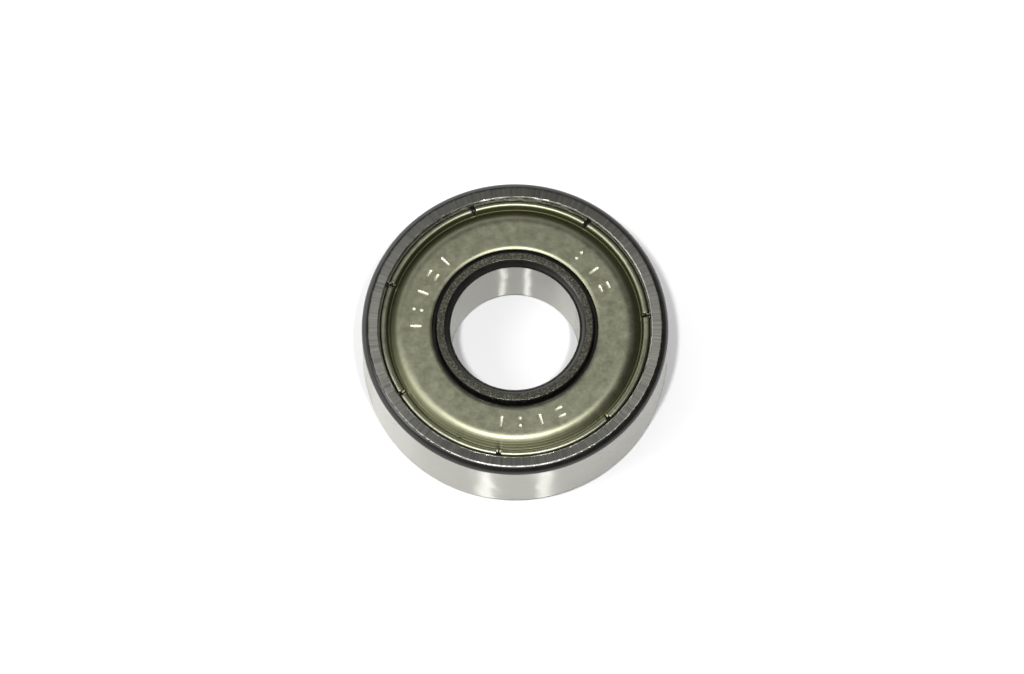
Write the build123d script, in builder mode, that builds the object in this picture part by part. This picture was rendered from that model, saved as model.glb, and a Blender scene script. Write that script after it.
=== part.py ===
"""Miniature deep-groove ball bearing, 8 mm bore, 19 mm outside diameter, 6 mm wide, shielded both sides.

The origin is the bearing's centre, on the spin axis, halfway through its width, and +Z is the spin axis.
An inner and an outer ring of hardened steel run on seven balls. A pressed ribbon cage, two halves joined
by a rivet between every two balls, keeps the balls apart. A pressed steel shield closes each side: its
slit rim is crimped into a groove in the outer ring, and its bore clears the inner ring.
Profiles are drawn as radius and height, for the upper half, and mirrored where the piece is symmetric.
"""

import math
import os

from build123d import *

# Boundary dimensions, in millimetres
bore_radius = 8.0 / 2
outside_radius = 19.0 / 2
half_width = 6.0 / 2

# Balls and raceways
ball_count = 7
ball_radius = 3.175 / 2
pitch_radius = (bore_radius + outside_radius) / 2
race_clearance = 0.01  # radial play between a ball and each raceway
inner_groove_radius = 0.515 * 2 * ball_radius
outer_groove_radius = 0.525 * 2 * ball_radius
shoulder_height = 0.49  # depth of each raceway below its shoulders
inner_race_radius = pitch_radius - ball_radius - race_clearance
outer_race_radius = pitch_radius + ball_radius + race_clearance
inner_shoulder_radius = inner_race_radius + shoulder_height
outer_shoulder_radius = outer_race_radius - shoulder_height

# Corners of the rings, which are turned before the faces are ground, so they meet the faces at an edge
outer_corner = 0.45
bore_corner = 0.40
corner_radius = 0.55
small_corner = 0.06

# Stepped end of the inner ring, which runs inside the shield's bore
inner_end_radius = 4.86
inner_step_height = 2.10
step_fillet = 0.15

# Shield seat in the outer ring: a land, an undercut groove and a mouth
seat_height = 2.20
mouth_radius = 8.46
undercut_radius = 8.74
crimp_clearance = 0.02

# Shield, pressed from thin sheet: flat ring, shoulder, valley and rolled rim, along the sheet's middle,
# with a bend radius where each runs into the next
sheet = 0.20
shield_bore_radius = 5.19
shield_recess = 0.23  # from the rings' faces down to the shield's flat
flat_height = half_width - shield_recess - sheet / 2
valley_height = seat_height + sheet / 2
rim_height = flat_height + 0.03
shoulder_top_radius = 7.10
shoulder_foot_radius = 7.77
valley_end_radius = 7.93
rim_inner_radius = 8.045
rim_outer_radius = 8.285
toe_radius = undercut_radius - crimp_clearance - sheet / 2
toe_height = 2.44
undercut_top = toe_height + sheet / 2 + crimp_clearance
shoulder_bend = 0.80
foot_bend = 0.15
valley_bend = 0.13
rim_bend = 0.115
toe_bend = 0.12
notch_count = 7
notch_width = 0.28
notch_start_radius = 8.06
first_notch_angle = 5.7

# Cage, pressed from ribbon, and its rivets
ribbon = 0.28
pocket_clearance = 0.09
cage_side_clearance = 0.30
pocket_radius = ball_radius + pocket_clearance
cage_inner_radius = inner_shoulder_radius + cage_side_clearance
cage_outer_radius = outer_shoulder_radius - cage_side_clearance
dome_bend = 0.25  # outside radius where a dome flares into the flat web
dome_outer_radius = pocket_radius + ribbon
dome_skirt_radius = math.sqrt((dome_outer_radius + dome_bend) ** 2 - (ribbon + dome_bend) ** 2)
dome_foot_x = dome_skirt_radius * dome_outer_radius / (dome_outer_radius + dome_bend)
dome_foot_y = (ribbon + dome_bend) * dome_outer_radius / (dome_outer_radius + dome_bend)
shank_radius = 0.30
shank_clearance = 0.02
head_radius = 0.50
head_height = 0.24
head_edge = 0.07
dome_rise = head_height - head_edge
dome_radius = (head_radius**2 + dome_rise**2) / (2 * dome_rise)

ball_angles = [90 + 360 / ball_count * i for i in range(ball_count)]
rivet_angles = [angle + 180 / ball_count for angle in ball_angles]


def on_pitch_circle(angle):
    """The point of the pitch circle at an angle in degrees, on the bearing's middle plane."""
    turn = math.radians(angle)
    return Vector(pitch_radius * math.cos(turn), pitch_radius * math.sin(turn), 0)


def upright_plane(site):
    """An upright plane through a point, for profiles drawn as distance from the point and height."""
    return Plane(origin=site, x_dir=(1, 0, 0), z_dir=(0, -1, 0))


def race_edge_height(groove_radius):
    """How far a raceway reaches above the middle plane, where it meets its shoulder."""
    return math.sqrt(groove_radius**2 - (groove_radius - shoulder_height) ** 2)


# Outer ring: ground outside and faces, raceway, shoulders and a shield seat at each end
outer_race_edge = race_edge_height(outer_groove_radius)
with BuildPart() as outer_ring:
    with BuildSketch(Plane.XZ):
        with BuildLine():
            Line((outside_radius, 0), (outside_radius, half_width - outer_corner))
            RadiusArc(
                (outside_radius, half_width - outer_corner),
                (outside_radius - outer_corner, half_width),
                -corner_radius,
            )
            Polyline(
                (outside_radius - outer_corner, half_width),
                (mouth_radius + small_corner, half_width),
                (mouth_radius, half_width - small_corner),
                (mouth_radius, undercut_top + small_corner),
                (undercut_radius, undercut_top),
                (undercut_radius, seat_height),
                (outer_shoulder_radius + small_corner, seat_height),
                (outer_shoulder_radius, seat_height - small_corner),
                (outer_shoulder_radius, outer_race_edge),
            )
            RadiusArc(
                (outer_shoulder_radius, outer_race_edge),
                (outer_race_radius, 0),
                outer_groove_radius,
            )
            mirror(about=Plane.XZ)
        make_face()
    revolve(axis=Axis.Z)
outer_ring.part.label = "outer_ring"

# Inner ring: bore, faces, stepped ends under the shields, shoulders and raceway
inner_race_edge = race_edge_height(inner_groove_radius)
with BuildPart() as inner_ring:
    with BuildSketch(Plane.XZ) as inner_profile:
        with BuildLine():
            Line((bore_radius, 0), (bore_radius, half_width - bore_corner))
            RadiusArc(
                (bore_radius, half_width - bore_corner),
                (bore_radius + bore_corner, half_width),
                corner_radius,
            )
            Polyline(
                (bore_radius + bore_corner, half_width),
                (inner_end_radius - small_corner, half_width),
                (inner_end_radius, half_width - small_corner),
                (inner_end_radius, inner_step_height),
                (inner_shoulder_radius - small_corner, inner_step_height),
                (inner_shoulder_radius, inner_step_height - small_corner),
                (inner_shoulder_radius, inner_race_edge),
            )
            RadiusArc(
                (inner_shoulder_radius, inner_race_edge),
                (inner_race_radius, 0),
                -inner_groove_radius,
            )
            mirror(about=Plane.XZ)
        make_face()
        step_roots = inner_profile.vertices().filter_by(
            lambda v: math.isclose(v.X, inner_end_radius) and math.isclose(abs(v.Y), inner_step_height)
        )
        fillet(step_roots, step_fillet)
    revolve(axis=Axis.Z)
inner_ring.part.label = "inner_ring"

# Upper shield: one strip of sheet bent along its middle line, turned into a ring, with the rim slit
with BuildPart() as shield_top:
    with BuildSketch(Plane.XZ):
        with BuildLine():
            middle_line = FilletPolyline(
                (shield_bore_radius + sheet / 2, flat_height),
                (shoulder_top_radius, flat_height),
                (shoulder_foot_radius, valley_height),
                (valley_end_radius, valley_height),
                (rim_inner_radius, rim_height),
                (rim_outer_radius, rim_height),
                (rim_outer_radius, toe_height),
                (toe_radius, toe_height),
                radius=[shoulder_bend, foot_bend, valley_bend, rim_bend, rim_bend, toe_bend],
            )
            offset(middle_line, amount=sheet / 2, side=Side.BOTH)
        make_face()
    revolve(axis=Axis.Z)
    notch_length = toe_radius + sheet - notch_start_radius
    with PolarLocations(notch_start_radius, notch_count, start_angle=first_notch_angle):
        Box(
            notch_length,
            notch_width,
            half_width,
            align=(Align.MIN, Align.CENTER, Align.MIN),
            mode=Mode.SUBTRACT,
        )
        Cylinder(
            notch_width / 2,
            half_width,
            align=(Align.CENTER, Align.CENTER, Align.MIN),
            mode=Mode.SUBTRACT,
        )
shield_top.part.label = "shield_top"

# Lower shield: the same pressing, the other way up
with BuildPart() as shield_bottom:
    mirror(shield_top.part, about=Plane.XY)
shield_bottom.part.label = "shield_bottom"

# Upper cage half: a flat ribbon ring with a domed half pocket over each ball and a rivet hole between
with BuildPart() as cage_upper:
    with BuildSketch():
        Circle(cage_outer_radius)
    extrude(amount=ribbon)
    for angle in ball_angles:
        site = on_pitch_circle(angle)
        with BuildSketch(upright_plane(site)):
            with BuildLine():
                RadiusArc((0, dome_outer_radius), (dome_foot_x, dome_foot_y), dome_outer_radius)
                RadiusArc((dome_foot_x, dome_foot_y), (dome_skirt_radius, ribbon), -dome_bend)
                Polyline(
                    (dome_skirt_radius, ribbon),
                    (dome_skirt_radius, 0),
                    (0, 0),
                    (0, dome_outer_radius),
                )
            make_face()
        revolve(axis=Axis(site, (0, 0, 1)))
    with BuildSketch():
        Circle(cage_outer_radius)
        Circle(cage_inner_radius, mode=Mode.SUBTRACT)
    extrude(amount=half_width, mode=Mode.INTERSECT)
    with PolarLocations(pitch_radius, ball_count, start_angle=ball_angles[0]):
        Sphere(pocket_radius, mode=Mode.SUBTRACT)
    with PolarLocations(pitch_radius, ball_count, start_angle=rivet_angles[0]):
        Cylinder(shank_radius + shank_clearance, half_width, mode=Mode.SUBTRACT)
cage_upper.part.label = "cage_upper"

# Lower cage half
with BuildPart() as cage_lower:
    mirror(cage_upper.part, about=Plane.XY)
cage_lower.part.label = "cage_lower"

pieces = [
    outer_ring.part,
    inner_ring.part,
    shield_top.part,
    shield_bottom.part,
    cage_upper.part,
    cage_lower.part,
]

# Balls, one in each pocket
for number, angle in enumerate(ball_angles, start=1):
    with BuildPart() as ball:
        with Locations(on_pitch_circle(angle)):
            Sphere(ball_radius)
    ball.part.label = f"ball_{number}"
    pieces.append(ball.part)

# Rivets, one through each pair of webs, with a domed head on both sides
for number, angle in enumerate(rivet_angles, start=1):
    site = on_pitch_circle(angle)
    with BuildPart() as rivet:
        with BuildSketch(upright_plane(site)):
            with BuildLine():
                Polyline(
                    (shank_radius, 0),
                    (shank_radius, ribbon),
                    (head_radius, ribbon),
                    (head_radius, ribbon + head_edge),
                )
                RadiusArc((head_radius, ribbon + head_edge), (0, ribbon + head_height), -dome_radius)
                Line((0, ribbon + head_height), (0, 0))
                mirror(about=Plane.XZ)
            make_face()
        revolve(axis=Axis(site, (0, 0, 1)))
    rivet.part.label = f"rivet_{number}"
    pieces.append(rivet.part)

os.makedirs("parts", exist_ok=True)
for piece in pieces:
    export_step(piece, f"parts/{piece.label}.step")
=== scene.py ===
import math

import bpy
from mathutils import Matrix, Vector


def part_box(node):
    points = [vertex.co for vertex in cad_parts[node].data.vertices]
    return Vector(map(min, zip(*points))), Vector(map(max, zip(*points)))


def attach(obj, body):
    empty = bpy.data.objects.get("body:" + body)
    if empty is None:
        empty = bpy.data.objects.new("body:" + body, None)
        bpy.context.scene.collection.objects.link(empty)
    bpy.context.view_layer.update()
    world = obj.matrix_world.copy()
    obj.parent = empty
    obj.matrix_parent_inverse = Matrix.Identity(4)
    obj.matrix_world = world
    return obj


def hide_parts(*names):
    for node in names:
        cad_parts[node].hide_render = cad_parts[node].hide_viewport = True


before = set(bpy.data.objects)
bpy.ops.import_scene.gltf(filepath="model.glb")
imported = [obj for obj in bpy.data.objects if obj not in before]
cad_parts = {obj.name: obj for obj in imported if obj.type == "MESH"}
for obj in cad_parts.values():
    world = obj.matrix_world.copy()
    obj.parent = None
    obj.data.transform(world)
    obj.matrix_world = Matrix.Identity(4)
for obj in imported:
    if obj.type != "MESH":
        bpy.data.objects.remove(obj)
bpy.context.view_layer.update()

mm = 0.001

# ---------------------------------------------------------------------------------------------
# Outer ring. A ring of through-hardened bearing steel, turned from tube, hardened black, then
# ground: the outside round the axis, the two faces across it between grinding discs. The
# corners and the shield's seat are turned before hardening and never ground, so they stay dark.
# ---------------------------------------------------------------------------------------------
outside_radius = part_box("outer_ring")[1].x
half_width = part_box("outer_ring")[1].z
outer_corner = 0.45 * mm
corner_radius = 0.55 * mm
mouth_radius = 8.46 * mm
mouth_chamfer = 0.06 * mm
undercut_radius = 8.74 * mm
undercut_top = 2.56 * mm
seat_height = 2.20 * mm
outer_shoulder_radius = 7.8575 * mm
outer_race_radius = 8.3475 * mm
outer_groove_radius = 1.6669 * mm
worn_edge = 0.22 * mm  # how round an edge is where a ground surface meets a turned corner
small_break = 0.03 * mm  # how round the lesser edges are
flat_margin = 0.06 * mm  # a line of points this far inside a face keeps it flat beside a worn edge
corner_steps = 14
race_steps = 24
weld = 0.0001 * mm  # points closer than this are one


def arc(start, end, radius, count):
    """Points between start and end along an arc that bulges right, or left for a radius below 0."""
    start, end = Vector(start), Vector(end)
    half_chord = (end - start) / 2
    out = Vector((half_chord.y, -half_chord.x)).normalized()
    drop = math.sqrt(abs(radius) ** 2 - half_chord.length_squared)
    centre = start + half_chord - math.copysign(drop, radius) * out
    half_angle = math.asin(half_chord.length / abs(radius))
    points = []
    for i in range(1, count):
        turn = half_angle * (2 * i / count - 1)
        side = math.copysign(abs(radius), radius) * out
        point = centre + side * math.cos(turn) + half_chord.normalized() * abs(radius) * math.sin(turn)
        points.append((point.x, point.y, 0))
    return points


def rounded(corners, step=math.radians(7)):
    """A section's points, from corners of radius, height and rounding, each rounded one as an arc."""
    points = []
    for number, (x, z, rounding) in enumerate(corners):
        corner = Vector((x, z))
        if not rounding:
            points.append(corner)
            continue
        back = (Vector(corners[number - 1][:2]) - corner).normalized()
        on = (Vector(corners[(number + 1) % len(corners)][:2]) - corner).normalized()
        turn = math.pi - back.angle(on)
        centre = corner + (back + on).normalized() * rounding / math.cos(turn / 2)
        arm = corner + back * rounding * math.tan(turn / 2) - centre
        side = math.copysign(1, on.cross(back))
        count = max(2, math.ceil(turn / step))
        for i in range(count + 1):
            points.append(centre + Matrix.Rotation(side * turn * i / count, 2) @ arm)
    return points


def turned(name, points, closed=True, steps=504):
    """A new piece: a section drawn by extruding one point along its outline, turned round Z."""
    bpy.ops.object.select_all(action="DESELECT")
    bpy.ops.mesh.primitive_plane_add(size=mm)
    piece = bpy.context.object
    piece.name = piece.data.name = name
    bpy.ops.object.mode_set(mode="EDIT")
    bpy.ops.mesh.select_mode(type="VERT")
    bpy.ops.mesh.merge(type="CENTER")
    bpy.ops.transform.translate(value=(points[0].x, 0, points[0].y))
    for last, point in zip(points, points[1:] + points[:1] * closed):
        step = point - last
        bpy.ops.mesh.extrude_region_move(TRANSFORM_OT_translate={"value": (step.x, 0, step.y)})
    bpy.ops.object.mode_set(mode="OBJECT")
    lathe = piece.modifiers.new("lathe", "SCREW")
    lathe.steps = lathe.render_steps = steps
    lathe.use_merge_vertices = True
    lathe.merge_threshold = weld
    bpy.ops.object.modifier_apply(modifier=lathe.name)
    bpy.ops.object.mode_set(mode="EDIT")
    bpy.ops.mesh.select_all(action="SELECT")
    bpy.ops.mesh.remove_doubles(threshold=weld)
    bpy.ops.mesh.normals_make_consistent(inside=False)
    bpy.ops.object.mode_set(mode="OBJECT")
    return piece


def pick(piece):
    """Makes a piece the active one, and the only one selected."""
    bpy.ops.object.select_all(action="DESELECT")
    piece.select_set(True)
    bpy.context.view_layer.objects.active = piece


def smooth(piece):
    """Smooths a piece's shading, except over edges of more than 30 degrees, and keeps faces flat."""
    pick(piece)
    bpy.ops.object.shade_smooth_by_angle(angle=math.radians(30))
    weigh = piece.modifiers.new("face_weights", "WEIGHTED_NORMAL")
    weigh.keep_sharp = True
    weigh.thresh = 0  # the faces here are so small that any other threshold takes them all as equal
    bpy.ops.object.modifier_apply(modifier=weigh.name)


def select(piece, kind, test):
    """Goes into edit mode with just those points or faces selected whose place passes a test."""
    pick(piece)
    bpy.ops.object.mode_set(mode="EDIT")
    bpy.ops.mesh.select_mode(type=kind)
    bpy.ops.mesh.select_all(action="DESELECT")
    bpy.ops.object.mode_set(mode="OBJECT")
    if kind == "FACE":
        for face in piece.data.polygons:
            face.select = test(face.center)
    else:
        for point in piece.data.vertices:
            point.select = test(point.co)
    bpy.ops.object.mode_set(mode="EDIT")


def both_halves(upper, raceway):
    """A ring's whole section: its upper half, its raceway, and the upper half mirrored below."""
    return upper + raceway + [(x, -z, rounding) for x, z, rounding in reversed(upper)]


outer_race_edge = math.sqrt(
    outer_groove_radius**2 - (outer_groove_radius - outer_race_radius + outer_shoulder_radius) ** 2
)
upper = [(outside_radius, half_width - outer_corner, worn_edge)]
upper += arc(upper[0][:2], (outside_radius - outer_corner, half_width), corner_radius, corner_steps)
upper += [
    (outside_radius - outer_corner, half_width, worn_edge),
    (outside_radius - outer_corner - flat_margin, half_width, 0),
    (mouth_radius + mouth_chamfer + flat_margin, half_width, 0),
    (mouth_radius + mouth_chamfer, half_width, small_break),
    (mouth_radius, half_width - mouth_chamfer, small_break),
    (mouth_radius, undercut_top + mouth_chamfer, 0),
    (undercut_radius, undercut_top, 0),
    (undercut_radius, seat_height, 0),
    (outer_shoulder_radius + mouth_chamfer, seat_height, 0),
    (outer_shoulder_radius, seat_height - mouth_chamfer, 0),
    (outer_shoulder_radius, outer_race_edge, 0),
]
raceway = arc(
    (outer_shoulder_radius, outer_race_edge),
    (outer_shoulder_radius, -outer_race_edge),
    -outer_groove_radius,
    race_steps,
)
outer_ring = turned("outer_ring_ground", rounded(both_halves(upper, raceway)))

# The edges have been knocked a little: the seat's mouth most, the corner's edge hardly at all
mouth_wear = 0.004 * mm
edge_wear = 0.001 * mm
near = 0.02 * mm  # how far a point may lie from an edge and still belong to it


def at_mouth(point):
    """Whether a point lies on the chamfer at the mouth of a shield's seat."""
    inside = mouth_radius - near < point.xy.length < mouth_radius + mouth_chamfer + near
    return inside and abs(point.z) > half_width - mouth_chamfer - near


def at_corner_edge(point):
    """Whether a point lies on the edge where the face meets the outer corner."""
    on_edge = abs(point.xy.length - outside_radius + outer_corner) < 3 * near
    return on_edge and abs(point.z) > half_width - near


for test, wear in ((at_mouth, mouth_wear), (at_corner_edge, edge_wear)):
    select(outer_ring, "VERT", test)
    bpy.ops.transform.vertex_random(offset=wear, seed=7)
    bpy.ops.object.mode_set(mode="OBJECT")
smooth(outer_ring)


def colour(code):
    """An sRGB hex colour as linear red, green, blue and alpha."""
    shares = [int(code[i : i + 2], 16) / 255 for i in (0, 2, 4)]
    return [c / 12.92 if c <= 0.04045 else ((c + 0.055) / 1.055) ** 2.4 for c in shares] + [1]


def add(material, kind, inputs, **settings):
    """Adds a node to a material or world. Inputs are values, or outputs of nodes to link from."""
    made = material.node_tree.nodes.new("ShaderNode" + kind)
    for name, value in settings.items():
        setattr(made, name, value)
    for name, value in inputs.items():
        if isinstance(value, bpy.types.NodeSocket):
            material.node_tree.links.new(value, made.inputs[name])
        else:
            made.inputs[name].default_value = value
    return made


def steel(name, base, roughness, **sockets):
    """A new steel material and its shader, bare metal unless its sockets say otherwise."""
    material = bpy.data.materials.new(name)
    material.use_nodes = True
    shader = material.node_tree.nodes["Principled BSDF"]
    shader.inputs["Base Color"].default_value = colour(base)
    shader.inputs["Metallic"].default_value = 1
    shader.inputs["Roughness"].default_value = roughness
    for socket, value in sockets.items():
        shader.inputs[socket.replace("_", " ").title()].default_value = value
    return material, shader


# Centreless-ground bearing steel: bright, with fine scratches that run round the axis on a slightly
# wavy surface. The scratches and waves are drawn deeper and coarser than real, so that they show. The
# finest scratches are too small to draw: a second glossy layer stands for them, and throws each lamp
# into a narrow upright streak. Handling has left a few dark specks.
wall_grey = "a4a39b"
ground_round, shader = steel(
    "bearing_steel_ground_round", wall_grey, 0.26, anisotropic=0.8, anisotropic_rotation=0.25
)
place = add(ground_round, "TexCoord", {}).outputs["Object"]
around = add(ground_round, "Tangent", {}, direction_type="RADIAL", axis="Z")
scratch_spacing = 0.08 * mm
scratch_length = 5 * mm
scratch_depth = 0.025 * mm
wave_length = 1.6 * mm
wave_depth = 0.05 * mm
squeeze = (1 / scratch_length, 1 / scratch_length, 1 / scratch_spacing)
squeezed = add(ground_round, "Mapping", {"Vector": place, "Scale": squeeze})
scratches = add(ground_round, "TexNoise", {"Vector": squeezed.outputs["Vector"], "Scale": 1, "Detail": 1})
waves = add(ground_round, "TexNoise", {"Vector": place, "Scale": 1 / wave_length, "Detail": 1})
deep = add(
    ground_round, "Math", {0: scratches.outputs["Fac"], 1: scratch_depth / mm}, operation="MULTIPLY"
)
wavy = add(
    ground_round,
    "Math",
    {0: waves.outputs["Fac"], 1: wave_depth / mm, 2: deep.outputs["Value"]},
    operation="MULTIPLY_ADD",
)
bump = add(ground_round, "Bump", {"Height": wavy.outputs["Value"], "Strength": 1, "Distance": mm})
speck_spacing = 0.45 * mm
specks = add(ground_round, "TexNoise", {"Vector": place, "Scale": 1 / speck_spacing, "Detail": 2})
speck_share = add(
    ground_round,
    "MapRange",
    {"Value": specks.outputs["Fac"], "From Min": 0.72, "From Max": 0.76, "To Min": 0, "To Max": 1},
)
tint = add(ground_round, "Mix", {"Factor": speck_share.outputs["Result"]}, data_type="RGBA")
tint.inputs["A"].default_value = colour(wall_grey)
tint.inputs["B"].default_value = colour("55534e")
streak_share = 0.11
streaks = add(
    ground_round,
    "BsdfAnisotropic",
    {
        "Color": colour("d8d7d0"),
        "Roughness": 0.316,
        "Anisotropy": 0.9,
        "Tangent": around.outputs["Tangent"],
        "Normal": bump.outputs["Normal"],
    },
)
both = add(
    ground_round, "MixShader", {0: streak_share, 1: shader.outputs["BSDF"], 2: streaks.outputs["BSDF"]}
)
surface = ground_round.node_tree.nodes["Material Output"].inputs["Surface"]
links = ground_round.node_tree.links
links.new(both.outputs["Shader"], surface)
links.new(around.outputs["Tangent"], shader.inputs["Tangent"])
links.new(bump.outputs["Normal"], shader.inputs["Normal"])
links.new(tint.outputs["Result"], shader.inputs["Base Color"])

# Disc-ground bearing steel: the wheels cross the ring, so fine scratches run straight out across
# the face, some lighter and some darker, and the face looks greyer than the wall. They are drawn
# coarser than real, so that they show.
ground_face, shader = steel("bearing_steel_ground_face", "82817a", 0.33, anisotropic=0.45)
place = add(ground_face, "TexCoord", {}).outputs["Object"]
around = add(ground_face, "Tangent", {}, direction_type="RADIAL", axis="Z")
level = add(ground_face, "VectorMath", {0: place, 1: (1, 1, 0)}, operation="MULTIPLY")
heading = add(ground_face, "VectorMath", {0: level.outputs["Vector"]}, operation="NORMALIZE")
cross_scratches = 55  # for each radian, so 0.1 to 0.2 mm apart
spread = add(
    ground_face, "VectorMath", {0: heading.outputs["Vector"], "Scale": cross_scratches}, operation="SCALE"
)
scratches = add(
    ground_face,
    "TexNoise",
    {"Vector": spread.outputs["Vector"], "Scale": 1, "Detail": 4, "Roughness": 0.7},
)
bump = add(
    ground_face, "Bump", {"Height": scratches.outputs["Fac"], "Strength": 1, "Distance": 0.0005 * mm}
)
tone = add(ground_face, "ValToRGB", {"Fac": scratches.outputs["Fac"]})
for stop, share, code in zip(tone.color_ramp.elements, (0.35, 0.65), ("70706a", "93928b")):
    stop.position = share
    stop.color = colour(code)
links = ground_face.node_tree.links
links.new(around.outputs["Tangent"], shader.inputs["Tangent"])
links.new(bump.outputs["Normal"], shader.inputs["Normal"])
links.new(tone.outputs["Color"], shader.inputs["Base Color"])

# Turned and through-hardened, never ground: a thin uneven black oxide, which isn't a metal, over
# fine turning marks. It is almost black face on, and grey where it is seen at a glancing angle.
turned_black, shader = steel("bearing_steel_black", "131310", 0.24, metallic=0)
place = add(turned_black, "TexCoord", {}).outputs["Object"]
oxide_patch = 0.6 * mm
patches = add(turned_black, "TexNoise", {"Vector": place, "Scale": 1 / oxide_patch, "Detail": 4})
tone = add(turned_black, "ValToRGB", {"Fac": patches.outputs["Fac"]})
for stop, share, code in zip(tone.color_ramp.elements, (0.35, 0.70), ("0d0d0a", "1b1a16")):
    stop.position = share
    stop.color = colour(code)
turning_pitch = 0.12 * mm
turning_length = 10 * mm
squeeze = (1 / turning_length, 1 / turning_length, 1 / turning_pitch)
squeezed = add(turned_black, "Mapping", {"Vector": place, "Scale": squeeze})
turnings = add(turned_black, "TexNoise", {"Vector": squeezed.outputs["Vector"], "Scale": 1, "Detail": 1})
bump = add(
    turned_black, "Bump", {"Height": turnings.outputs["Fac"], "Strength": 1, "Distance": 0.002 * mm}
)
turned_black.node_tree.links.new(tone.outputs["Color"], shader.inputs["Base Color"])
turned_black.node_tree.links.new(bump.outputs["Normal"], shader.inputs["Normal"])

edge_blend = math.cos(math.radians(12))  # the face's finish runs this far round onto its edges
hair = 0.001 * mm  # how far a face may lie off a cylinder and still belong to it


def finish_ring(piece, test_round, face_finish):
    """Gives a ring's mesh its three finishes: black all over, then its round-ground parts and faces."""
    for material in (turned_black, ground_round, face_finish):
        piece.data.materials.append(material)
    for face in piece.data.polygons:
        height = abs(face.center.z)
        if abs(face.normal.z) > edge_blend and height > half_width - 4 * near:
            face.material_index = 2
        elif test_round(face.center.xy.length, height):
            face.material_index = 1


def outer_round(out, height):
    """Whether a radius and height lie on the outer ring's wall, raceway or worn mouth."""
    raceway = out < outer_race_radius + near and height < outer_race_edge
    mouth = at_mouth(Vector((out, 0, height)))
    return out > outside_radius - hair or raceway or mouth


finish_ring(outer_ring, outer_round, ground_face)
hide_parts("outer_ring")
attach(outer_ring, "outer_ring")

# ---------------------------------------------------------------------------------------------
# Inner ring. The same steel, turned and hardened black, then ground in the bore and on the
# faces. Its ends are stepped down to run inside the shields.
# ---------------------------------------------------------------------------------------------
bore_radius = 4.0 * mm
bore_corner = 0.40 * mm
bore_corner_radius = 0.80 * mm
inner_end_radius = 4.86 * mm
inner_step_height = 2.10 * mm
step_fillet = 0.15 * mm
inner_shoulder_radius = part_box("inner_ring")[1].x
inner_race_radius = 5.1525 * mm
inner_groove_radius = 1.6351 * mm

inner_race_edge = math.sqrt(
    inner_groove_radius**2 - (inner_groove_radius + inner_race_radius - inner_shoulder_radius) ** 2
)
upper = [(bore_radius, half_width - bore_corner, worn_edge)]
upper += arc(upper[0][:2], (bore_radius + bore_corner, half_width), -bore_corner_radius, corner_steps)
upper += [
    (bore_radius + bore_corner, half_width, small_break),
    (inner_end_radius - mouth_chamfer - flat_margin, half_width, 0),
    (inner_end_radius - mouth_chamfer, half_width, small_break),
    (inner_end_radius, half_width - mouth_chamfer, small_break),
    (inner_end_radius, inner_step_height, step_fillet),
    (inner_shoulder_radius - mouth_chamfer, inner_step_height, small_break),
    (inner_shoulder_radius, inner_step_height - mouth_chamfer, small_break),
    (inner_shoulder_radius, inner_race_edge, 0),
]
raceway = arc(
    (inner_shoulder_radius, inner_race_edge),
    (inner_shoulder_radius, -inner_race_edge),
    inner_groove_radius,
    race_steps,
)
inner_ring = turned("inner_ring_ground", rounded(both_halves(upper, raceway)))
select(
    inner_ring,
    "VERT",
    lambda point: abs(point.xy.length - inner_end_radius + mouth_chamfer / 2) < mouth_chamfer
    and abs(point.z) > half_width - mouth_chamfer - near,
)
bpy.ops.transform.vertex_random(offset=mouth_wear / 2, seed=11)
bpy.ops.object.mode_set(mode="OBJECT")
smooth(inner_ring)


def inner_round(out, height):
    """Whether a radius and height lie in the inner ring's bore or raceway."""
    raceway = out > inner_race_radius - near and height < inner_race_edge
    return out < bore_radius + hair or raceway


# Its faces are ground finer than the outer ring's and have stayed oily, so they look darker all
# round. The small light flecks in their colour are painted glints.
oiled_face, shader = steel("bearing_steel_oiled_face", "656458", 0.30)
place = add(oiled_face, "TexCoord", {}).outputs["Object"]
fleck_size = 0.09 * mm
glint_flecks = add(oiled_face, "TexNoise", {"Vector": place, "Scale": 1 / fleck_size, "Detail": 3})
# Painted highlight: noise lightens the base colour in small flecks that stand for glints
tone = add(oiled_face, "ValToRGB", {"Fac": glint_flecks.outputs["Fac"]})
for stop, share, code in zip(tone.color_ramp.elements, (0.45, 0.72), ("5a594d", "a3a294")):
    stop.position = share
    stop.color = colour(code)
bump = add(oiled_face, "Bump", {"Height": glint_flecks.outputs["Fac"], "Strength": 1, "Distance": 0.004 * mm})
oiled_face.node_tree.links.new(tone.outputs["Color"], shader.inputs["Base Color"])
oiled_face.node_tree.links.new(bump.outputs["Normal"], shader.inputs["Normal"])
finish_ring(inner_ring, inner_round, oiled_face)
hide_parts("inner_ring")
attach(inner_ring, "inner_ring")

# ---------------------------------------------------------------------------------------------
# Shields. Each is pressed from thin sheet: a flat ring, a shoulder down to a valley, and a rim
# rolled over and slit in seven places, so that its toe can be crimped out into the undercut.
# ---------------------------------------------------------------------------------------------
sheet = 0.20 * mm
shield_top_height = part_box("shield_top")[1].z
rim_height = shield_top_height - sheet / 2
flat_drop = 0.03 * mm
flat_height = rim_height - flat_drop
valley_height = seat_height + sheet / 2
toe_height = 2.44 * mm
shield_bore_radius = 5.19 * mm
shoulder_radius = 7.10 * mm
shoulder_foot_radius = 7.77 * mm
valley_end_radius = 7.93 * mm
rim_inner_radius = 8.045 * mm
rim_outer_radius = 8.285 * mm
shield_toe_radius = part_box("shield_top")[1].x
shoulder_bend = 0.80 * mm
foot_bend = 0.15 * mm
valley_bend = 0.13 * mm
rim_bend = 0.115 * mm
toe_bend = 0.12 * mm
bore_roll = 0.05 * mm  # piercing the bore has drawn its edge down a little
bore_roll_radius = 5.31 * mm
bore_bend = 0.35 * mm
flat_rings = (5.45 * mm, 6.0 * mm, 6.8 * mm)  # lines of points that hold the flat flat
slits = 7
columns = 504  # of faces round the ring, the same number in every seventh of it
slit_columns = 3  # the width of a slit
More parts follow.
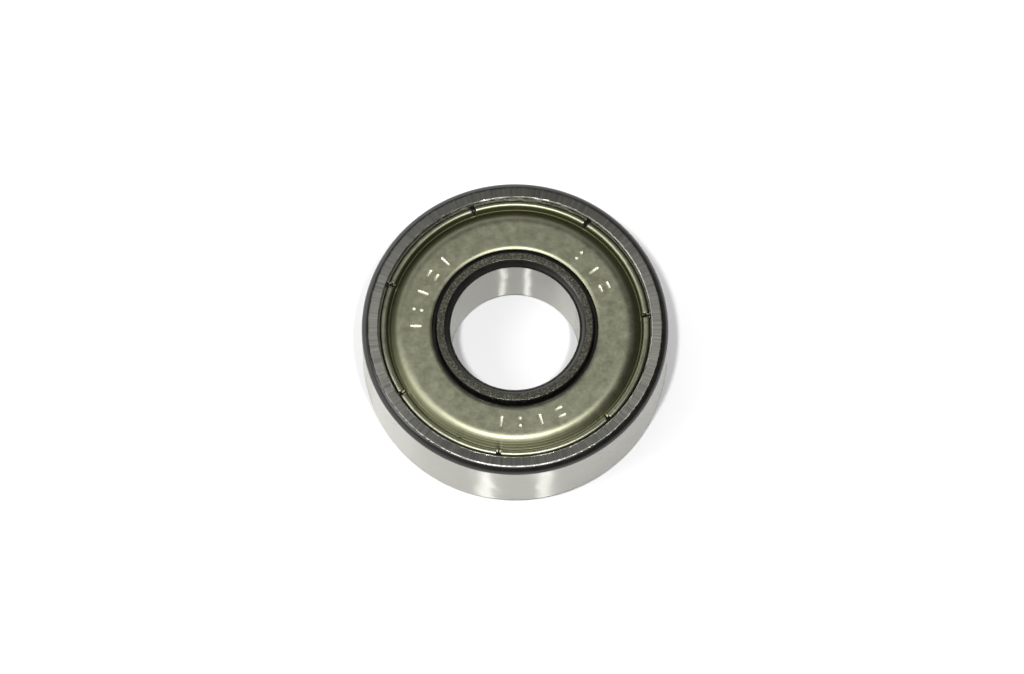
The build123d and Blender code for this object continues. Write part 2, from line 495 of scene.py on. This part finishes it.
slit_root = 8.06 * mm
root_radius = 0.12 * mm
first_slit = math.radians(5.7)

middle_line = [
    (shield_bore_radius, flat_height - bore_roll, 0),
    (bore_roll_radius, flat_height, bore_bend),
    *((radius, flat_height, 0) for radius in flat_rings),
    (shoulder_radius, flat_height, shoulder_bend),
    (shoulder_foot_radius, valley_height, foot_bend),
    (valley_end_radius, valley_height, valley_bend),
    (rim_inner_radius, rim_height, rim_bend),
    (rim_outer_radius, rim_height, rim_bend),
    (rim_outer_radius, toe_height, toe_bend),
    (shield_toe_radius, toe_height, 0),
]
bend_step = math.radians(6)
shield_top = turned("shield_top_pressed", rounded(middle_line, bend_step), closed=False, steps=columns)
column = math.tau / columns
bpy.ops.object.mode_set(mode="EDIT")
bpy.ops.mesh.select_all(action="SELECT")
slit_side = first_slit - column * slit_columns / 2
bpy.ops.transform.rotate(value=-slit_side, orient_axis="Z", center_override=(0, 0, 0))
bpy.ops.object.mode_set(mode="OBJECT")


def slit_place(number, radius):
    """The place of a point on the middle of a slit, at a radius, seen from above."""
    angle = first_slit + math.tau / slits * number
    return Vector((radius * math.cos(angle), radius * math.sin(angle)))


def press(places, reach, move):
    """Presses the sheet up or down at some places, and the sheet round them out to a reach."""
    select(
        shield_top,
        "VERT",
        lambda point: any((point.xy - place).length < reach / 3 for place in places),
    )
    bpy.ops.transform.translate(
        value=(0, 0, move),
        use_proportional_edit=True,
        proportional_edit_falloff="SMOOTH",
        proportional_size=reach,
    )
    bpy.ops.object.mode_set(mode="OBJECT")


# Crimping puckers the sheet at each slit's root and has nipped the shoulder's foot inside each of
# them. Two short scars cross the valley on the near side.
pucker_radius = 7.88 * mm
pucker_reach = 0.18 * mm
pucker_height = 0.02 * mm
nip_radius = 7.56 * mm
nip_reach = 0.22 * mm
nip_depth = 0.07 * mm
scars = ((-116, 7.72 * mm, 0.07 * mm), (-98, 7.74 * mm, 0.04 * mm))  # degrees, radius and depth
scar_reach = 0.12 * mm
press([slit_place(number, pucker_radius) for number in range(slits)], pucker_reach, pucker_height)
press([slit_place(number, nip_radius) for number in range(slits)], nip_reach, -nip_depth)
for degrees, radius, depth in scars:
    angle = math.radians(degrees)
    heading = Vector((math.cos(angle), math.sin(angle)))
    places = [heading * (radius + step) for step in (-scar_reach, 0, scar_reach)]
    press(places, scar_reach, -depth)


def in_slit(place):
    """Whether a place on the rim lies in one of the slits, which end in a round root."""
    angle = (math.atan2(place.y, place.x) - slit_side) % (math.tau / slits)
    out = place.xy.length
    off = abs(angle - column * slit_columns / 2) * out
    root = math.hypot(off, slit_root - out) < root_radius
    return root or (angle < column * slit_columns and out > slit_root)


select(shield_top, "FACE", in_slit)
bpy.ops.mesh.delete(type="FACE")
bpy.ops.object.mode_set(mode="OBJECT")
thicken = shield_top.modifiers.new("sheet", "SOLIDIFY")
thicken.thickness = sheet
thicken.offset = 0
thicken.use_even_offset = True
bpy.ops.object.modifier_apply(modifier=thicken.name)
soften = shield_top.modifiers.new("sheared_edges", "BEVEL")
soften.limit_method = "ANGLE"
soften.angle_limit = math.radians(50)
soften.width = 0.07 * mm
soften.segments = 3
bpy.ops.object.modifier_apply(modifier=soften.name)
bpy.ops.object.mode_set(mode="EDIT")
bpy.ops.mesh.select_all(action="SELECT")
bpy.ops.mesh.normals_make_consistent(inside=False)
bpy.ops.object.mode_set(mode="OBJECT")

# Cold-rolled steel strip, tumbled and thinly plated: a satin olive grey, faintly mottled, with fine
# drawing lines that run round the valley. The valley's colour is darkened there, a painted shade,
# and rolling has burnished the rim. Grain and lines are drawn coarser than real, so that they show.
plated, shader = steel("shield_steel_plated", "83846f", 0.42)
place = add(plated, "TexCoord", {}).outputs["Object"]
mottle_size = 0.5 * mm
mottle = add(
    plated, "TexNoise", {"Vector": place, "Scale": 1 / mottle_size, "Detail": 6, "Roughness": 0.65}
)
tone = add(plated, "ValToRGB", {"Fac": mottle.outputs["Fac"]})
for stop, share, code in zip(tone.color_ramp.elements, (0.30, 0.70), ("7a7b67", "8b8c77")):
    stop.position = share
    stop.color = colour(code)
gloss = add(
    plated,
    "MapRange",
    {"Value": mottle.outputs["Fac"], "From Min": 0.3, "From Max": 0.7, "To Min": 0.38, "To Max": 0.46},
)
level = add(plated, "VectorMath", {0: place, 1: (1, 1, 0)}, operation="MULTIPLY")
out = add(plated, "VectorMath", {0: level.outputs["Vector"]}, operation="LENGTH")
line_spacing = 0.11 * mm
lines = add(
    plated,
    "TexNoise",
    {"W": out.outputs["Value"], "Scale": 1 / line_spacing, "Detail": 1},
    noise_dimensions="1D",
)
inner_shore = add(
    plated,
    "MapRange",
    {"Value": out.outputs["Value"], "From Min": 7.24 * mm, "From Max": 7.50 * mm},
    interpolation_type="SMOOTHSTEP",
)
outer_shore = add(
    plated,
    "MapRange",
    {
        "Value": out.outputs["Value"],
        "From Min": 7.96 * mm,
        "From Max": 8.04 * mm,
        "To Min": 1,
        "To Max": 0,
    },
    interpolation_type="SMOOTHSTEP",
)
valley_share = add(
    plated,
    "Math",
    {0: inner_shore.outputs["Result"], 1: outer_shore.outputs["Result"]},
    operation="MULTIPLY",
)
# Painted shade: across the valley the colour is darkened towards 5a5b45
valley_shade = add(plated, "Mix", {"Factor": valley_share.outputs["Value"]}, data_type="RGBA")
valley_shade.inputs["B"].default_value = colour("5a5b45")
drawn = add(plated, "Math", {0: lines.outputs["Fac"], 1: valley_share.outputs["Value"]}, operation="MULTIPLY")
grain_size = 0.12 * mm
line_depth = 2.5  # against the grain's
grain = add(plated, "TexNoise", {"Vector": place, "Scale": 1 / grain_size, "Detail": 2})
rough = add(
    plated,
    "Math",
    {0: drawn.outputs["Value"], 1: line_depth, 2: grain.outputs["Fac"]},
    operation="MULTIPLY_ADD",
)
bump = add(plated, "Bump", {"Height": rough.outputs["Value"], "Strength": 1, "Distance": 0.003 * mm})
burnish = 0.05
rim = add(
    plated,
    "MapRange",
    {
        "Value": out.outputs["Value"],
        "From Min": 8.02 * mm,
        "From Max": 8.10 * mm,
        "To Min": 0,
        "To Max": burnish,
    },
)
polish = add(plated, "Math", {0: gloss.outputs["Result"], 1: rim.outputs["Result"]}, operation="SUBTRACT")
links = plated.node_tree.links
links.new(tone.outputs["Color"], valley_shade.inputs["A"])
links.new(valley_shade.outputs["Result"], shader.inputs["Base Color"])
links.new(polish.outputs["Value"], shader.inputs["Roughness"])
links.new(bump.outputs["Normal"], shader.inputs["Normal"])
shield_top.data.materials.append(plated)

# Coined marks: plain ticks, dashes and dots in three groups, struck into the flat. Their colour is
# made far lighter than the flat's, a painted highlight that stands for the glints of their walls.
# Painted highlight: this base colour is about three times as bright as the flat's
coined, shader = steel("shield_steel_coined", "dfdeca", 0.45)
place = add(coined, "TexCoord", {}).outputs["Object"]
grain = add(coined, "TexNoise", {"Vector": place, "Scale": 1 / grain_size, "Detail": 2})
bump = add(coined, "Bump", {"Height": grain.outputs["Fac"], "Strength": 1, "Distance": 0.01 * mm})
coined.node_tree.links.new(bump.outputs["Normal"], shader.inputs["Normal"])
mark_radius = 6.15 * mm
stroke_width = 0.20 * mm
groove_depth = 0.055 * mm
punch_height = flat_height + sheet / 2 + stroke_width / 2 - groove_depth
# Each kind of mark as strokes: how far out from the middle, and how much longer out and across
tick = [(0, 0.56 * mm, 0)]
dash = [(-0.26 * mm, 0, 0.34 * mm), (0.26 * mm, 0, 0.34 * mm)]
dots = [(-0.24 * mm, 0.06 * mm, 0), (0.24 * mm, 0.06 * mm, 0)]
marks = [(135, tick), (146, dash), (158, tick), (169, dots), (179, tick)]
marks += [(50, dots), (37.5, tick), (26, dash)]
marks += [(262, tick), (273, dots), (285, tick), (297, dash)]
punches = []
for degrees, strokes in marks:
    for offset, length, width in strokes:
        bpy.ops.object.select_all(action="DESELECT")
        bpy.ops.mesh.primitive_uv_sphere_add(segments=16, ring_count=10, radius=stroke_width / 2)
        punch = bpy.context.object
        for pull in (Vector((1, 0)), Vector((-1, 0)), Vector((0, 1)), Vector((0, -1))):
            select(punch, "VERT", lambda point: point.xy.dot(pull) > stroke_width / 8)
            bpy.ops.transform.translate(value=(pull.x * length / 2, pull.y * width / 2, 0))
            bpy.ops.object.mode_set(mode="OBJECT")
        bpy.ops.object.mode_set(mode="EDIT")
        bpy.ops.mesh.select_all(action="SELECT")
        bpy.ops.transform.translate(value=(mark_radius + offset, 0, punch_height))
        bpy.ops.transform.rotate(
            value=-math.radians(degrees), orient_axis="Z", center_override=(0, 0, 0)
        )
        bpy.ops.object.mode_set(mode="OBJECT")
        punch.data.materials.append(coined)
        punches.append(punch)
bpy.ops.object.select_all(action="DESELECT")
for punch in punches:
    punch.select_set(True)
bpy.context.view_layer.objects.active = punches[0]
bpy.ops.object.join()
pick(shield_top)
strike = shield_top.modifiers.new("coined_marks", "BOOLEAN")
strike.operation = "DIFFERENCE"
strike.solver = "EXACT"
strike.material_mode = "TRANSFER"
strike.object = punches[0]
bpy.ops.object.modifier_apply(modifier=strike.name)
bpy.data.objects.remove(punches[0])
smooth(shield_top)

# The lower shield is the same pressing, turned over about the line through its first slit
pick(shield_top)
bpy.ops.object.duplicate()
shield_bottom = bpy.context.object
shield_bottom.name = shield_bottom.data.name = "shield_bottom_pressed"
bpy.ops.object.mode_set(mode="EDIT")
bpy.ops.mesh.select_all(action="SELECT")
bpy.ops.transform.rotate(value=math.pi, orient_axis="X", center_override=(0, 0, 0))
bpy.ops.transform.rotate(value=-2 * first_slit, orient_axis="Z", center_override=(0, 0, 0))
bpy.ops.object.mode_set(mode="OBJECT")
for piece, node in ((shield_top, "shield_top"), (shield_bottom, "shield_bottom")):
    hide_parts(node)
    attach(piece, "outer_ring")

# ---------------------------------------------------------------------------------------------
# Balls, cage and rivets. Seven lapped balls of bearing steel run in a cage of two halves, pressed
# from steel strip and joined by soft steel rivets whose ends are headed over.
# ---------------------------------------------------------------------------------------------
lapped, shader = steel("ball_steel_lapped", "cfcecb", 0.12)
place = add(lapped, "TexCoord", {}).outputs["Object"]
haze_size = 0.8 * mm
haze = add(lapped, "TexNoise", {"Vector": place, "Scale": 1 / haze_size, "Detail": 5})
gloss = add(
    lapped,
    "MapRange",
    {"Value": haze.outputs["Fac"], "From Min": 0.3, "From Max": 0.7, "To Min": 0.07, "To Max": 0.18},
)
lapped.node_tree.links.new(gloss.outputs["Result"], shader.inputs["Roughness"])

pressed, shader = steel("cage_steel_pressed", "a5a49f", 0.38)
place = add(pressed, "TexCoord", {}).outputs["Object"]
tumble_size = 0.25 * mm
tumbled = add(pressed, "TexNoise", {"Vector": place, "Scale": 1 / tumble_size, "Detail": 4})
tone = add(pressed, "ValToRGB", {"Fac": tumbled.outputs["Fac"]})
for stop, code in zip(tone.color_ramp.elements, ("8d8c86", "bdbcb6")):
    stop.color = colour(code)
bump = add(pressed, "Bump", {"Height": tumbled.outputs["Fac"], "Strength": 1, "Distance": 0.006 * mm})
pressed.node_tree.links.new(tone.outputs["Color"], shader.inputs["Base Color"])
pressed.node_tree.links.new(bump.outputs["Normal"], shader.inputs["Normal"])

headed, shader = steel("rivet_steel_headed", "b4b2ab", 0.32)
place = add(headed, "TexCoord", {}).outputs["Object"]
dent_size = 0.2 * mm
dents = add(headed, "TexNoise", {"Vector": place, "Scale": 1 / dent_size, "Detail": 3})
bump = add(headed, "Bump", {"Height": dents.outputs["Fac"], "Strength": 1, "Distance": 0.01 * mm})
headed.node_tree.links.new(bump.outputs["Normal"], shader.inputs["Normal"])

for start, material in (("ball_", lapped), ("cage_", pressed), ("rivet_", headed)):
    for name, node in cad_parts.items():
        if name.startswith(start):
            node.data.materials.clear()
            node.data.materials.append(material)

# ---------------------------------------------------------------------------------------------
# The place it lies in: a white matte sheet under it, a lamp on each side of the camera, a broad
# window of light on the left, and a dim room above.
# ---------------------------------------------------------------------------------------------
bpy.context.scene.view_settings.view_transform = "Standard"
bpy.context.scene.cycles.caustics_reflective = False
floor_height = -half_width - mouth_wear  # the worn edges stand this proud of the faces
bpy.ops.mesh.primitive_plane_add(size=3, location=(0, 0, floor_height))
floor = bpy.context.object
floor.name = "floor"
paper = bpy.data.materials.new("white_paper")
paper.use_nodes = True
paper.node_tree.nodes["Principled BSDF"].inputs["Base Color"].default_value = colour("f4f4f4")
paper.node_tree.nodes["Principled BSDF"].inputs["Roughness"].default_value = 0.9
floor.data.materials.append(paper)

# The room: white walls that are bright low down, brightest at the back and on the left, under a
# dim ceiling
room = bpy.data.worlds.new("room")
room.use_nodes = True
wall_light = 1.3
ceiling_light = 0.15
dark_side = 0.2
bright_side = 2.0
wall_top = math.sin(math.radians(48))
heading = add(room, "TexCoord", {}).outputs["Generated"]
axes = add(room, "SeparateXYZ", {"Vector": heading})
by_height = add(
    room,
    "MapRange",
    {
        "Value": axes.outputs["Z"],
        "From Min": 0.05,
        "From Max": wall_top,
        "To Min": wall_light,
        "To Max": ceiling_light,
    },
    interpolation_type="SMOOTHSTEP",
)
back_and_left = (-0.8, 0.6, 0)
facing = add(room, "VectorMath", {0: heading, 1: back_and_left}, operation="DOT_PRODUCT")
by_side = add(
    room,
    "MapRange",
    {
        "Value": facing.outputs["Value"],
        "From Min": -0.5,
        "From Max": 1,
        "To Min": dark_side,
        "To Max": bright_side,
    },
)
strength = add(
    room, "Math", {0: by_height.outputs["Result"], 1: by_side.outputs["Result"]}, operation="MULTIPLY"
)
background = room.node_tree.nodes["Background"]
background.inputs["Color"].default_value = (1, 1, 1, 1)
room.node_tree.links.new(strength.outputs["Value"], background.inputs["Strength"])
bpy.context.scene.world = room


def towards(azimuth, elevation):
    """The direction of an azimuth, from the near side towards the right, and an elevation."""
    azimuth, elevation = math.radians(azimuth), math.radians(elevation)
    level = math.cos(elevation)
    return Vector((math.sin(azimuth) * level, -math.cos(azimuth) * level, math.sin(elevation)))


def lamp(name, azimuth, elevation, distance, width, height, watts):
    """A rectangular soft lamp, aimed at the middle."""
    made = bpy.data.objects.new(name, bpy.data.lights.new(name, "AREA"))
    made.data.shape = "RECTANGLE"
    made.data.size = width
    made.data.size_y = height
    made.data.energy = watts
    made.location = towards(azimuth, elevation) * distance
    made.rotation_euler = towards(azimuth, elevation).to_track_quat("Z", "Y").to_euler()
    made.visible_camera = False
    bpy.context.scene.collection.objects.link(made)


lamp("lamp_left", azimuth=-24.6, elevation=75, distance=0.45, width=0.02, height=0.03, watts=1.04)
lamp("lamp_right", azimuth=24.6, elevation=75, distance=0.45, width=0.02, height=0.03, watts=0.91)
lamp("window", azimuth=-78, elevation=52, distance=0.6, width=0.25, height=0.25, watts=1.10)

view_elevation = 71.4
view_distance = 0.5
camera = bpy.data.objects.new("camera", bpy.data.cameras.new("camera"))
camera.data.lens = 282.5
camera.data.sensor_width = 36
camera.data.clip_start = 0.05
aim = Vector((-0.19 * mm, 0.315 * mm, 0))
camera.location = aim + towards(0, view_elevation) * view_distance
camera.rotation_euler = towards(0, view_elevation).to_track_quat("Z", "Y").to_euler()
bpy.context.scene.collection.objects.link(camera)
bpy.context.scene.camera = camera
